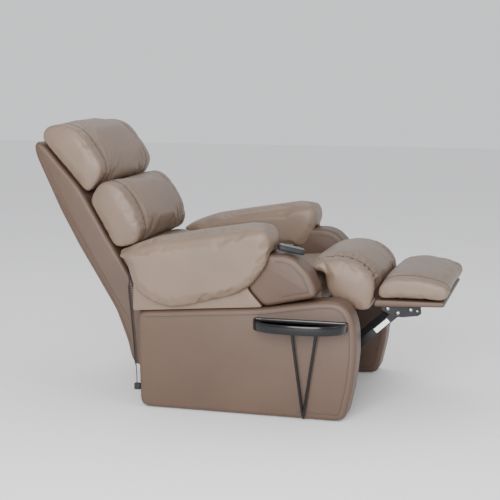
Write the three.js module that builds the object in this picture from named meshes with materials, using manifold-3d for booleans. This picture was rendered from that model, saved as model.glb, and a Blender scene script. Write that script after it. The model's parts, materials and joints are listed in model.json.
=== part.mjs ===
// Powered lift recliner armchair, shown reclined with its footrest out.
// Millimetres. +X is the front, +Y the occupant's left, +Z up. The origin is on the floor at mid-width.
// Outlines are side views, written as [x, z]; the chair is built from them across its width.
import * as THREE from "three";
import { mergeVertices } from "three/addons/utils/BufferGeometryUtils.js";
import Module from "manifold-3d";

const wasm = await Module();
wasm.setup();

// ---- Driving dimensions ----
const GAP = 0.3; // between pieces that touch
const BASE_HALF_WIDTH = 400;
const PANEL_THICKNESS = 110;
const PANEL_INNER = BASE_HALF_WIDTH - PANEL_THICKNESS;
const PANEL_LIFT = 3; // panel hem above the floor
const SEAT_HALF_WIDTH = 282;
const SEAT_TOP = 500;
const DECK_TOP = 349;
const DECK_THICKNESS = 18;
const PAD_INNER = 285;
const PAD_OUTER = 440;
const FLAP_THICKNESS = 27; // arm pad's flap on the seat side
const FLAP_HEM = 500;
const BACK_HALF_WIDTH = 270;
const FOOT_HALF_WIDTH = 266;
const RAIL_OUTER = 190;
const RAIL_INNER = 150;
const RAIL_HEIGHT = 40;
const RAIL_LENGTH = 630;
const ARM_BAR = { inner: 195, outer: 201, halfHeight: 18 };
const CHASSIS = { inner: 208, outer: 214 };
const SWING = { inner: 222, outer: 228, halfHeight: 13 };
const EXTENSION = { inner: 230, outer: 236, halfHeight: 12 };
const BRACKET = { inner: 238, outer: 246 };
const TUBE_SIDES = 16;
const PIN_SIDES = 8;

// Pivots, seen from the side.
const LIFT_PIVOT = [280, 60];
const TILT_PIVOT = [-60, 60];
const BACK_PIVOT = [-340, 340];
const SWING_PIVOT = [290, 140];
const KNEE_PIVOT = [415, 252];
const BRACKET_PIVOT = [540, 365];

// ---- Colours ----
const leather = (color) => new THREE.MeshStandardMaterial({ color, roughness: 0.5, metalness: 0 });
const metal = (color, roughness) => new THREE.MeshStandardMaterial({ color, roughness, metalness: 0.6 });
const plastic = (color, roughness) => new THREE.MeshStandardMaterial({ color, roughness, metalness: 0 });
const DARK_LEATHER = leather(0x89786e);
const LIGHT_LEATHER = leather(0xab9c93);
const BLACK_STEEL = metal(0x1c1c1d, 0.45);
const GREY_STEEL = metal(0x8d9092, 0.4);
const GLOSS_BLACK = plastic(0x121213, 0.15);
const MATTE_BLACK = plastic(0x202022, 0.6);
const BOARD = plastic(0xb99c74, 0.8);
const KEY_GREY = plastic(0xb9c2bb, 0.5);

// ---- Solids ----
function toSolid(geometry) {
  const bare = geometry.index ? geometry.toNonIndexed() : geometry.clone();
  bare.deleteAttribute("normal");
  bare.deleteAttribute("uv");
  const merged = mergeVertices(bare, 1e-4);
  const vertProperties = merged.attributes.position.array;
  const triVerts = new Uint32Array(merged.index.array);
  return new wasm.Manifold(new wasm.Mesh({ numProp: 3, vertProperties, triVerts }));
}

function toGeometry(solid) {
  const made = solid.getMesh();
  const geometry = new THREE.BufferGeometry();
  geometry.setAttribute("position", new THREE.BufferAttribute(made.vertProperties, 3));
  geometry.setIndex(new THREE.BufferAttribute(made.triVerts, 1));
  geometry.computeVertexNormals();
  return geometry;
}

const join = (first, ...others) =>
  toGeometry(others.reduce((whole, other) => whole.add(toSolid(other)), toSolid(first)));
const cut = (body, ...tools) =>
  toGeometry(tools.reduce((rest, tool) => rest.subtract(toSolid(tool)), toSolid(body)));

// A box from its lowest to its highest corner.
function block([x0, y0, z0], [x1, y1, z1]) {
  const box = new THREE.BoxGeometry(x1 - x0, y1 - y0, z1 - z0);
  return box.translate((x0 + x1) / 2, (y0 + y1) / 2, (z0 + z1) / 2);
}

const straight = (points) => new THREE.Shape(points.map(([x, z]) => new THREE.Vector2(x, z)));

// Straight edges, with every corner rounded to that radius, or to less where its edges are short.
function rounded(points, radius) {
  const shape = new THREE.Shape();
  const count = points.length;
  points.forEach((point, i) => {
    const corner = new THREE.Vector2(...point);
    const towards = (other) => {
      const step = new THREE.Vector2(...other).sub(corner);
      return corner.clone().add(step.setLength(Math.min(radius, step.length() * 0.45)));
    };
    const from = towards(points[(i + count - 1) % count]);
    const to = towards(points[(i + 1) % count]);
    if (i === 0) shape.moveTo(from.x, from.y);
    else shape.lineTo(from.x, from.y);
    shape.quadraticCurveTo(corner.x, corner.y, to.x, to.y);
  });
  shape.closePath();
  return shape;
}

// A closed outline: curved through the first list of points, then straight along the second.
function curvedThen(curve, edges) {
  const shape = new THREE.Shape();
  shape.moveTo(...curve[0]);
  shape.splineThru(curve.slice(1).map(([x, z]) => new THREE.Vector2(x, z)));
  edges.forEach(([x, z]) => shape.lineTo(x, z));
  shape.closePath();
  return shape;
}

// A side outline carried across the width from y0 to y1, with its two ends rounded off by edge.
function across(shape, y0, y1, { edge = 0, edgeSteps = 1, curveSegments = 2 } = {}) {
  const options = {
    depth: y1 - y0 - 2 * edge,
    bevelEnabled: edge > 0,
    bevelThickness: edge,
    bevelSize: edge,
    bevelOffset: -edge,
    bevelSegments: edgeSteps,
    curveSegments,
  };
  const body = new THREE.ExtrudeGeometry(shape, options);
  return body.rotateX(Math.PI / 2).translate(0, y1 - edge, 0);
}

// A round bar along Y.
function crossBar([x, z], radius, y0, y1, sides = TUBE_SIDES) {
  return new THREE.CylinderGeometry(radius, radius, y1 - y0, sides).translate(x, (y0 + y1) / 2, z);
}

// A round bar between two points.
function rodBetween(from, to, radius, sides = PIN_SIDES) {
  const along = new THREE.Vector3().subVectors(to, from);
  const bar = new THREE.CylinderGeometry(radius, radius, along.length(), sides);
  const turn = new THREE.Quaternion().setFromUnitVectors(new THREE.Vector3(0, 1, 0), along.normalize());
  return bar.applyQuaternion(turn).translate(...from.clone().add(to).multiplyScalar(0.5).toArray());
}

// A flat bar with round ends, from one pivot to another, seen from the side.
function barShape([xa, za], [xb, zb], halfHeight) {
  const angle = Math.atan2(zb - za, xb - xa);
  const shape = new THREE.Shape();
  shape.absarc(xb, zb, halfHeight, angle - Math.PI / 2, angle + Math.PI / 2);
  shape.absarc(xa, za, halfHeight, angle + Math.PI / 2, angle + (3 * Math.PI) / 2);
  shape.closePath();
  return shape;
}

const sided = (side, near, far) => (side > 0 ? [near, far] : [-far, -near]);

const chair = new THREE.Group();

function add(parent, name, geometry, material) {
  const mesh = new THREE.Mesh(geometry, material);
  mesh.name = name;
  parent.add(mesh);
  return mesh;
}

const SIDES = [
  { side: -1, word: "right" },
  { side: 1, word: "left" },
];

// ---- Floor frame: two rails on the floor, joined by cross tubes ----
const LIFT_MOTOR_Y = -70;
const LIFT_MOTOR_PIVOT = [-260, 80];
const CLEVIS = { tongue: 5, plateInner: 6, plateOuter: 11, pin: 5, hole: 6.5 };

// Two plates with a pin between them, either side of an actuator's tongue.
function clevis(shape, y, pivot) {
  const plates = [-1, 1].map((side) => {
    const [y0, y1] = sided(side, CLEVIS.plateInner, CLEVIS.plateOuter);
    return across(shape, y + y0, y + y1);
  });
  return join(plates[0], plates[1], crossBar(pivot, CLEVIS.pin, y - 8, y + 8, PIN_SIDES));
}

function floorRail(side) {
  const [y0, y1] = sided(side, RAIL_INNER, RAIL_OUTER);
  const [earInner, earOuter] = sided(side, RAIL_OUTER - 8, RAIL_OUTER);
  const rail = block([-RAIL_LENGTH / 2, y0, 0], [RAIL_LENGTH / 2, y1, RAIL_HEIGHT]);
  const ear = across(barShape([LIFT_PIVOT[0], 30], LIFT_PIVOT, 20), earInner, earOuter, { curveSegments: 4 });
  const [pinInner, pinOuter] = sided(side, RAIL_OUTER - 2, 206);
  const pin = crossBar(LIFT_PIVOT, 7, pinInner, pinOuter, PIN_SIDES);
  const [headInner, headOuter] = sided(side, ARM_BAR.outer + 0.6, 206);
  const head = crossBar(LIFT_PIVOT, 12, headInner, headOuter, 6);
  return join(rail, ear, pin, head);
}

function floorCrossMiddle() {
  const tube = block([-20, -RAIL_INNER + GAP, 0], [20, RAIL_INNER - GAP, RAIL_HEIGHT]);
  const shelf = block([-255, 45, 5], [-10, 148, 9]);
  return join(tube, shelf);
}

function floorCrossRear() {
  const tube = block([-315, -RAIL_INNER + GAP, 0], [-275, RAIL_INNER - GAP, RAIL_HEIGHT]);
  const cheek = straight([
    [-312, 36],
    [-278, 36],
    [-246, 74],
    [-246, 92],
    [-272, 92],
  ]);
  return join(tube, clevis(cheek, LIFT_MOTOR_Y, LIFT_MOTOR_PIVOT));
}

// A box with the pocket of a mains inlet in its rear end.
function powerSupply() {
  const box = across(rounded([[-250, 9.4], [-115, 9.4], [-115, 52], [-250, 52]], 8), 52, 142);
  const pocket = block([-252, 86, 20], [-236, 110, 38]);
  return cut(box, pocket);
}

const floorFrame = new THREE.Group();
chair.add(floorFrame);
for (const { side, word } of SIDES) add(floorFrame, `floor_rail_${word}`, floorRail(side), BLACK_STEEL);
add(floorFrame, "floor_cross_middle", floorCrossMiddle(), BLACK_STEEL);
add(floorFrame, "floor_cross_rear", floorCrossRear(), BLACK_STEEL);
add(floorFrame, "power_supply", powerSupply(), MATTE_BLACK);

// ---- Lift arms: swing up from the floor frame and carry the chair ----
function liftArm(side) {
  const [y0, y1] = sided(side, ARM_BAR.inner, ARM_BAR.outer);
  const bar = across(barShape(TILT_PIVOT, LIFT_PIVOT, ARM_BAR.halfHeight), y0, y1, { curveSegments: 4 });
  const holes = [TILT_PIVOT, LIFT_PIVOT].map((pivot) => crossBar(pivot, 9, y0 - 2, y1 + 2, TUBE_SIDES));
  return cut(bar, ...holes);
}

const liftArms = new THREE.Group();
chair.add(liftArms);
for (const { side, word } of SIDES) add(liftArms, `lift_arm_${word}`, liftArm(side), BLACK_STEEL);
const liftCross = crossBar([200, 60], 12, -ARM_BAR.inner + GAP, ARM_BAR.inner - GAP);
add(liftArms, "lift_cross_tube", liftCross, BLACK_STEEL);

// ---- Linear actuators: a gearbox with a motor can and an outer tube, and a rod with an eye ----
// Built along +X from the rear pivot. canSide is +1 or -1: the side of the tube that the motor can is on.
function actuatorBody({ tubeEnd, boreStart, canSide }) {
  const tongue = across(barShape([0, 0], [28, 0], 10), -CLEVIS.tongue, CLEVIS.tongue, { curveSegments: 4 });
  const gearbox = across(rounded([[22, -30], [78, -30], [78, 30], [22, 30]], 8), -24, 24);
  const tube = rodBetween(new THREE.Vector3(60, 0, 0), new THREE.Vector3(tubeEnd, 0, 0), 17, TUBE_SIDES);
  const canFrom = new THREE.Vector3(40, 0, canSide * 46);
  const canTo = new THREE.Vector3(155, 0, canSide * 46);
  const can = rodBetween(canFrom, canTo, 24, TUBE_SIDES);
  const boreFrom = new THREE.Vector3(boreStart, 0, 0);
  const boreTo = new THREE.Vector3(tubeEnd + 5, 0, 0);
  const bore = rodBetween(boreFrom, boreTo, 11.5, TUBE_SIDES);
  const eye = crossBar([0, 0], CLEVIS.hole, -8, 8, TUBE_SIDES);
  return cut(join(tongue, gearbox, tube, can), bore, eye);
}

function actuatorRod({ length, rodTail }) {
  const tail = new THREE.Vector3(rodTail, 0, 0);
  const head = new THREE.Vector3(length - 44, 0, 0);
  const bar = rodBetween(tail, head, 9.5, TUBE_SIDES);
  const tongue = across(barShape([length - 38, 0], [length, 0], 11), -CLEVIS.tongue, CLEVIS.tongue, {
    curveSegments: 4,
  });
  return join(bar, tongue);
}

// Places an actuator with its rear pivot at from, pointing at to, and adds its two nodes.
function actuator(name, { from, to, y, tubeEnd, boreStart, rodTail, canSide }) {
  const place = new THREE.Group();
  const length = Math.hypot(to[0] - from[0], to[1] - from[1]);
  place.position.set(from[0], y, from[1]);
  place.rotation.y = -Math.atan2(to[1] - from[1], to[0] - from[0]);
  add(place, `${name}_motor`, actuatorBody({ tubeEnd, boreStart, canSide }), MATTE_BLACK);
  add(place, `${name}_rod`, actuatorRod({ length, rodTail }), GREY_STEEL);
  chair.add(place);
}

const LIFT_ROD_PIVOT = [200, 222];
const FRONT_TUBE = [200, 256];
const LEG_MOTOR_PIVOT = [-40, 180];
const LEG_LEVER_PIVOT = [342, 170];
const RECLINE_MOTOR_PIVOT = [-80, 150];
const RECLINE_ROD_PIVOT = [-362, 178];
const LEG_MOTOR_Y = 70;
const RECLINE_MOTOR_Y = 130;
actuator("lift", {
  from: LIFT_MOTOR_PIVOT,
  to: LIFT_ROD_PIVOT,
  y: LIFT_MOTOR_Y,
  tubeEnd: 430,
  boreStart: 165,
  rodTail: 175,
  canSide: -1,
});
actuator("leg", {
  from: LEG_MOTOR_PIVOT,
  to: LEG_LEVER_PIVOT,
  y: LEG_MOTOR_Y,
  tubeEnd: 245,
  boreStart: 104,
  rodTail: 205,
  canSide: -1,
});
actuator("recline", {
  from: RECLINE_MOTOR_PIVOT,
  to: RECLINE_ROD_PIVOT,
  y: RECLINE_MOTOR_Y,
  tubeEnd: 200,
  boreStart: 74,
  rodTail: 112,
  canSide: 1,
});

// ---- Base: side panels, steel chassis, seat and arms ----
const base = new THREE.Group();
chair.add(base);

const PANEL_OUTLINE = [
  [-362, PANEL_LIFT],
  [-370, 352],
  [-132, 371],
  [95, 388],
  [217, 409],
  [315, 423],
  [368, 421],
  [401, 390],
  [421, 330],
  [424, 240],
  [413, 130],
  [385, PANEL_LIFT],
];

function sidePanel(side) {
  const [y0, y1] = sided(side, PANEL_INNER, BASE_HALF_WIDTH);
  return across(rounded(PANEL_OUTLINE, 14), y0, y1, { edge: 8 });
}

// A steel plate each side, between the lift arms and the footrest links.
function chassisPlate(side) {
  const outline = straight([
    [-318, 330],
    [300, 330],
    [312, 318],
    [312, 112],
    [268, 112],
    [180, 285],
    [5, 285],
    [-40, 44],
    [-80, 44],
    [-125, 285],
    [-300, 285],
    [-340, 300],
    [-364, 322],
    [-364, 358],
    [-318, 358],
  ]);
  const [y0, y1] = sided(side, CHASSIS.inner, CHASSIS.outer);
  const plate = across(outline, y0, y1);
  const holes = [
    crossBar(BACK_PIVOT, 12.5, y0 - 2, y1 + 2),
    crossBar(SWING_PIVOT, 13, y0 - 2, y1 + 2),
  ];
  const [pinInner, pinOuter] = sided(side, ARM_BAR.inner - 6, CHASSIS.inner + 2);
  const pin = crossBar(TILT_PIVOT, 7, pinInner, pinOuter, PIN_SIDES);
  const [headInner, headOuter] = sided(side, ARM_BAR.inner - 6, ARM_BAR.inner - 0.6);
  const head = crossBar(TILT_PIVOT, 12, headInner, headOuter, 6);
  return join(cut(plate, ...holes), pin, head);
}

// The tube that the lift actuator pushes on, with a bracket beside the rod's eye.
function frontCrossTube() {
  const reach = CHASSIS.inner - GAP;
  const bracket = across(barShape(FRONT_TUBE, LIFT_ROD_PIVOT, 12), LIFT_MOTOR_Y - 12, LIFT_MOTOR_Y - 6, {
    curveSegments: 4,
  });
  return join(crossBar(FRONT_TUBE, 14, -reach, reach), bracket);
}

// The tube that carries the rear ends of the footrest and recline actuators.
function motorCrossTube() {
  const reach = CHASSIS.inner - GAP;
  const centre = [-60, 215];
  const legCheek = barShape(centre, LEG_MOTOR_PIVOT, 10);
  const reclineCheek = barShape(centre, RECLINE_MOTOR_PIVOT, 9);
  return join(
    crossBar(centre, 14, -reach, reach),
    clevis(legCheek, LEG_MOTOR_Y, LEG_MOTOR_PIVOT),
    clevis(reclineCheek, RECLINE_MOTOR_Y, RECLINE_MOTOR_PIVOT),
  );
}

const SEAT_OUTLINE = [
  [-262, DECK_TOP + GAP],
  [-262, 472],
  [-120, 484],
  [100, SEAT_TOP - 6],
  [240, SEAT_TOP],
  [276, 488],
  [282, 440],
  [278, DECK_TOP + GAP],
];

// Front part of an arm: a dark upholstered box, cut away where the arm pad's flap covers it.
function armFront(side) {
  const outline = rounded([
    [100, 392],
    [283, 433],
    [279, 468],
    [254, 520],
    [212, 562],
    [172, 577],
    [42, 574],
    [42, 452],
  ], 16);
  const [y0, y1] = sided(side, PANEL_INNER, BASE_HALF_WIDTH);
  const [flapInner, flapOuter] = sided(side, PAD_INNER - 5, PAD_INNER + FLAP_THICKNESS + 1);
  const flapRoom = block([30, flapInner, FLAP_HEM - 4], [128, flapOuter, 620]);
  return cut(across(outline, y0, y1, { edge: 8 }), flapRoom);
}

// Rear part of an arm, under the pad.
function armRear(side) {
  const outline = straight([
    [-384, 353],
    [-132, 373],
    [94, 390],
    [40, 452],
    [40, 572],
    [-60, 566],
    [-380, 512],
  ]);
  const [y0, y1] = sided(side, PANEL_INNER, BASE_HALF_WIDTH);
  const [flapInner, flapOuter] = sided(side, PAD_INNER - 5, PAD_INNER + FLAP_THICKNESS + 1);
  const flapRoom = block([-400, flapInner, FLAP_HEM - 4], [60, flapOuter, 620]);
  return cut(across(outline, y0, y1), flapRoom);
}

// The pillow draped over an arm: a hem hanging outside, a shorter flap on the seat side.
function armPad(side) {
  const outline = curvedThen(
    [
      [-399, 535],
      [-385, 488],
      [-352, 425],
      [-246, 377],
      [-118, 401],
      [18, 441],
      [89, 506],
      [122, 576],
      [124, 640],
    ],
    [
      [108, 668],
      [50, 671],
      [-47, 655],
      [-145, 639],
      [-296, 612],
      [-377, 584],
      [-430, 556],
    ],
  );
  const [y0, y1] = sided(side, PAD_INNER, PAD_OUTER);
  const [channelInner, channelOuter] = sided(side, PAD_INNER + FLAP_THICKNESS, BASE_HALF_WIDTH + 1);
  const channelTop = straight([
    [-460, 300],
    [200, 300],
    [200, 579],
    [40, 576],
    [-60, 568],
    [-460, 501],
  ]);
  const channel = across(channelTop, channelInner, channelOuter);
  const [underInner, underOuter] = sided(side, PAD_INNER - 10, PAD_INNER + FLAP_THICKNESS + 1);
  const underFlap = block([-460, underInner, 300], [200, underOuter, FLAP_HEM]);
  return cut(across(outline, y0, y1, { edge: 20, edgeSteps: 2 }), channel, underFlap);
}

for (const { side, word } of SIDES) {
  add(base, `side_panel_${word}`, sidePanel(side), DARK_LEATHER);
  add(base, `chassis_plate_${word}`, chassisPlate(side), BLACK_STEEL);
  add(base, `arm_front_${word}`, armFront(side), DARK_LEATHER);
  add(base, `arm_rear_${word}`, armRear(side), LIGHT_LEATHER);
  add(base, `arm_pad_${word}`, armPad(side), LIGHT_LEATHER);
}
add(base, "front_cross_tube", frontCrossTube(), BLACK_STEEL);
add(base, "motor_cross_tube", motorCrossTube(), BLACK_STEEL);
add(base, "back_pivot_tube", crossBar(BACK_PIVOT, 12, -PANEL_INNER + GAP, PANEL_INNER - GAP), BLACK_STEEL);
const deckReach = PANEL_INNER - GAP;
const deck = block([-285, -deckReach, DECK_TOP - DECK_THICKNESS + GAP], [275, deckReach, DECK_TOP]);
add(base, "seat_deck", deck, BOARD);
const seatCushion = across(rounded(SEAT_OUTLINE, 26), -SEAT_HALF_WIDTH, SEAT_HALF_WIDTH, { edge: 8 });
add(base, "seat_cushion", seatCushion, LIGHT_LEATHER);
add(base, "control_box", block([-250, -180, 290], [-130, -105, 330.7]), MATTE_BLACK);

// ---- Back: a curved upholstered shell on two hinge arms, with three cushions ----
const back = new THREE.Group();
chair.add(back);

const SHELL_OUTLINE = [
  [-805, 948],
  [-819, 924],
  [-809, 884],
  [-718, 689],
  [-646, 557],
  [-574, 440],
  [-503, 323],
  [-458, 203],
  [-445, 141],
  [-422, 114],
  [-396, 118],
  [-381, 150],
  [-388, 250],
  [-402, 345],
  [-448, 456],
  [-539, 601],
  [-621, 741],
  [-646, 780],
  [-729, 871],
  [-770, 920],
];
const HEAD_OUTLINE = [
  [-608, 749],
  [-644, 785],
  [-727, 876],
  [-792, 952],
  [-768, 1001],
  [-697, 1012],
  [-638, 990],
  [-600, 945],
  [-560, 888],
  [-543, 845],
  [-560, 800],
];
const SHOULDER_OUTLINE = [
  [-502, 552],
  [-535, 602],
  [-604, 724],
  [-566, 790],
  [-528, 808],
  [-486, 791],
  [-440, 741],
  [-408, 678],
  [-393, 622],
  [-410, 574],
];
const LUMBAR_OUTLINE = [
  [-442, 460],
  [-496, 545],
  [-448, 566],
  [-398, 566],
  [-345, 548],
  [-320, 515],
  [-335, 478],
  [-385, 455],
];

function backHinge(side) {
  const [y0, y1] = sided(side, 248, 254);
  const bar = across(barShape([-380, 345], BACK_PIVOT, 26), y0, y1, { curveSegments: 4 });
  const shellRearFace = straight([
    [-450, 450],
    [-403, 345],
    [-387, 250],
    [-450, 250],
  ]);
  const shellRoom = across(shellRearFace, y0 - 2, y1 + 2).translate(GAP * 4, 0, 0);
  return cut(bar, crossBar(BACK_PIVOT, 13, y0 - 2, y1 + 2), shellRoom);
}

// Bracket on the shell beside the recline rod's eye.
function reclineBracket() {
  return across(straight([
    [-392, 150],
    [-392, 205],
    [-362, 190],
    [-352, 178],
    [-362, 166],
  ]), RECLINE_MOTOR_Y + 6, RECLINE_MOTOR_Y + 12);
}

const shell = across(rounded(SHELL_OUTLINE, 14), -BACK_HALF_WIDTH, BACK_HALF_WIDTH);
add(back, "back_shell", join(shell, reclineBracket()), DARK_LEATHER);
for (const { side, word } of SIDES) add(back, `back_hinge_${word}`, backHinge(side), BLACK_STEEL);
const cushions = {
  head_cushion: HEAD_OUTLINE,
  shoulder_cushion: SHOULDER_OUTLINE,
  lumbar_cushion: LUMBAR_OUTLINE,
};
for (const [name, outline] of Object.entries(cushions)) {
  const pillow = across(rounded(outline, 24), -BACK_HALF_WIDTH + 4, BACK_HALF_WIDTH - 4, { edge: 12 });
  add(back, name, pillow, LIGHT_LEATHER);
}

// ---- Footrest: swing links, extension links and brackets carry a board and its pad ----
const footrest = new THREE.Group();
chair.add(footrest);

function swingLink(side) {
  const [y0, y1] = sided(side, SWING.inner, SWING.outer);
  const bar = across(barShape(SWING_PIVOT, KNEE_PIVOT, SWING.halfHeight), y0, y1, { curveSegments: 4 });
  const [pinInner, pinOuter] = sided(side, SWING.outer - 2, EXTENSION.outer + 5);
  const pin = crossBar(KNEE_PIVOT, 6, pinInner, pinOuter, PIN_SIDES);
  const [headInner, headOuter] = sided(side, EXTENSION.outer + 0.6, EXTENSION.outer + 5);
  return join(bar, pin, crossBar(KNEE_PIVOT, 10, headInner, headOuter, 6));
}

function extensionLink(side) {
  const [y0, y1] = sided(side, EXTENSION.inner, EXTENSION.outer);
  const bar = across(barShape(KNEE_PIVOT, BRACKET_PIVOT, EXTENSION.halfHeight), y0, y1, { curveSegments: 4 });
  const holes = [KNEE_PIVOT, BRACKET_PIVOT].map((pivot) => crossBar(pivot, 7.5, y0 - 2, y1 + 2, TUBE_SIDES));
  return cut(bar, ...holes);
}

function footrestBracket(side) {
  const [y0, y1] = sided(side, BRACKET.inner, BRACKET.outer);
  const plate = across(straight([
    [484, 386.5],
    [620, 391.5],
    [622, 366],
    [612, 358],
    [556, 350],
    [526, 352],
    [484, 374],
  ]), y0, y1);
  const [pinInner, pinOuter] = sided(side, EXTENSION.inner - 3.5, BRACKET.inner + 2);
  const pin = crossBar(BRACKET_PIVOT, 6, pinInner, pinOuter, PIN_SIDES);
  const [headInner, headOuter] = sided(side, EXTENSION.inner - 3.5, EXTENSION.inner - 0.6);
  const endHole = crossBar([608, 374], 4, y0 - 2, y1 + 2, PIN_SIDES);
  return cut(join(plate, pin, crossBar(BRACKET_PIVOT, 10, headInner, headOuter, 6)), endHole);
}

// The tube that turns both swing links, with the lever that the footrest actuator pushes.
function swingTube() {
  const reach = SWING.inner - GAP;
  const lever = across(barShape(SWING_PIVOT, LEG_LEVER_PIVOT, 14), LEG_MOTOR_Y - 12, LEG_MOTOR_Y - 6, {
    curveSegments: 4,
  });
  return join(crossBar(SWING_PIVOT, 12, -reach, reach), lever);
}

for (const { side, word } of SIDES) {
  add(footrest, `swing_link_${word}`, swingLink(side), BLACK_STEEL);
  add(footrest, `extension_link_${word}`, extensionLink(side), BLACK_STEEL);
  add(footrest, `footrest_bracket_${word}`, footrestBracket(side), BLACK_STEEL);
}
add(footrest, "swing_tube", swingTube(), BLACK_STEEL);

const BOARD_OUTLINE = [
  [457, 386],
  [700, 395],
  [706, 404],
  [700, 413],
  [462, 411],
];
const FOOT_PAD_OUTLINE = [
  [476, 416],
  [700, 417],
  [720, 440],
  [714, 472],
  [660, 490],
  [588, 500],
  [520, 495],
  [484, 480],
  [470, 446],
];
const LEG_PILLOW_OUTLINE = [
  [218, 502],
  [283, 502],
  [287, 440],
  [330, 385],
  [419, 367],
  [446, 377],
  [454, 402],
  [463, 430],
  [468, 468],
  [450, 508],
  [404, 545],
  [345, 562],
  [285, 558],
  [226, 530],
];
const boardHalf = FOOT_HALF_WIDTH - 2;
const board = across(rounded(BOARD_OUTLINE, 6), -boardHalf, boardHalf, { edge: 3 });
add(footrest, "footrest_board", board, DARK_LEATHER);
const footPad = across(rounded(FOOT_PAD_OUTLINE, 18), -FOOT_HALF_WIDTH, FOOT_HALF_WIDTH, { edge: 6 });
add(footrest, "footrest_pad", footPad, LIGHT_LEATHER);
const pillowHalf = FOOT_HALF_WIDTH + 6;
const legPillow = across(rounded(LEG_PILLOW_OUTLINE, 22), -pillowHalf, pillowHalf, { edge: 6 });
add(footrest, "leg_pillow", legPillow, LIGHT_LEATHER);

// ---- Side tray: a D-shaped recessed top on two rods that run down to a point ----
const tray = new THREE.Group();
chair.add(tray);
const TRAY = { x0: 69, x1: 396, straightY: -409, depth: 105, rim: 357, skirt: 32, wall: 5, recess: 10 };

// The tray's plan: straight along the chair, bowed outwards, drawn inset by the given margin.
function trayPlan(inset) {
  const back = TRAY.straightY - inset;
  const front = TRAY.straightY - TRAY.depth + inset;
  const x0 = TRAY.x0 + inset;
  const x1 = TRAY.x1 - inset;
  const shape = new THREE.Shape();
  shape.moveTo(x0, back);
  shape.bezierCurveTo(x0 + 4, front + 25, x0 + 60, front, (x0 + x1) / 2, front);
  shape.bezierCurveTo(x1 - 60, front, x1 - 4, front + 25, x1, back);
  shape.closePath();
  return shape;
}

function trayTop() {
  const plain = { bevelEnabled: false, curveSegments: 8 };
  const body = new THREE.ExtrudeGeometry(trayPlan(0), { depth: TRAY.skirt, ...plain });
  const dish = new THREE.ExtrudeGeometry(trayPlan(TRAY.wall), { depth: TRAY.recess + 1, ...plain });
  body.translate(0, 0, TRAY.rim - TRAY.skirt);
  dish.translate(0, 0, TRAY.rim - TRAY.recess);
  return cut(body, dish);
}

// Two rods in a V, bent in at the foot against the side panel.
function trayRods() {
  const radius = 5;
  const foot = new THREE.Vector3(243, -412, 10);
  const toe = new THREE.Vector3(243, -BASE_HALF_WIDTH - 2, 10);
  const topHeight = TRAY.rim - TRAY.skirt - GAP - radius;
  const tops = [202, 290].map((x) => new THREE.Vector3(x, -420, topHeight));
  const bars = tops.map((top) => rodBetween(top, foot, radius, 10));
  return join(...bars, rodBetween(foot, toe, radius, 10));
}

add(tray, "tray_top", trayTop(), GLOSS_BLACK);
add(tray, "tray_rods", trayRods(), GLOSS_BLACK);
const ledgeLow = [100, TRAY.straightY + 0.4, TRAY.rim - TRAY.skirt];
const ledge = block(ledgeLow, [365, -BASE_HALF_WIDTH - GAP, TRAY.rim - 2]);
add(base, "tray_bracket", ledge, BLACK_STEEL);

// ---- Handset: lies on the near arm in front of the pad, with six keys ----
const handset = new THREE.Group();
handset.position.set(186, -348, 589);
handset.rotation.set(0, 0.24, 0.3);
chair.add(handset);
const HANDSET = { length: 104, width: 50, thickness: 20 };

function handsetCase() {
  const half = HANDSET.length / 2;
  const shape = new THREE.Shape();
  shape.moveTo(-half, -HANDSET.width / 2 + 6);
  shape.quadraticCurveTo(0, -HANDSET.width / 2 - 2, half - 10, -HANDSET.width / 2 + 2);
  shape.quadraticCurveTo(half + 4, 0, half - 10, HANDSET.width / 2 - 2);
  shape.quadraticCurveTo(0, HANDSET.width / 2 + 2, -half, HANDSET.width / 2 - 6);
  shape.closePath();
  const options = {
    depth: HANDSET.thickness - 6,
    bevelThickness: 3,
    bevelSize: 3,
    bevelOffset: -3,
    bevelSegments: 1,
    curveSegments: 4,
  };
  const body = new THREE.ExtrudeGeometry(shape, options).translate(0, 0, -HANDSET.thickness / 2 + 3);
  const pockets = keyPlaces.map(([x, y]) => keyBlock(x, y, KEY.radius + 0.5, -1.5, 5));
  return cut(body, ...pockets);
}

const KEY = { radius: 6, rise: 1.2, pitchX: 24, pitchY: 19 };
const keyPlaces = [-1, 0, 1].flatMap((column) => {
  const x = column * KEY.pitchX - 2;
  return [-1, 1].map((row) => [x, (row * KEY.pitchY) / 2]);
});

function keyBlock(x, y, radius, low, high) {
  const top = HANDSET.thickness / 2;
  const key = new THREE.CylinderGeometry(radius, radius, high - low, 10).rotateX(Math.PI / 2);
  return key.translate(x, y, top + (high + low) / 2);
}

add(handset, "handset_case", handsetCase(), MATTE_BLACK);
keyPlaces.forEach(([x, y], i) => {
  add(handset, `handset_key_${i + 1}`, keyBlock(x, y, KEY.radius, -0.2, KEY.rise), KEY_GREY);
});

// ---- Handset cord: out from under the rear of the near arm pad, curled, then straight into a socket ----
const CORD = { coil: 7, tail: 2 };
const CORD_Y = -385;
const CORD_COIL = [
  [-402, 446],
  [-397, 388],
  [-392, 333],
  [-387, 279],
  [-383, 224],
  [-380, 150],
];
const CORD_UPPER_TAIL = [
  [-385, 494],
  [-391, 492],
  [-398, 483],
  [-402, 468],
  [-402.2, 447],
];
const CORD_LOWER_TAIL = [
  [-380, 149],
  [-379, 130],
  [-378, 108],
  [-378, 84.4],
];

function cordTube(points, radius, steps) {
  const route = new THREE.CatmullRomCurve3(points.map(([x, z]) => new THREE.Vector3(x, CORD_Y, z)));
  const section = new THREE.Shape().absarc(0, 0, radius, 0, 2 * Math.PI);
  return new THREE.ExtrudeGeometry(section, { steps, extrudePath: route, curveSegments: 4 });
}

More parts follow.
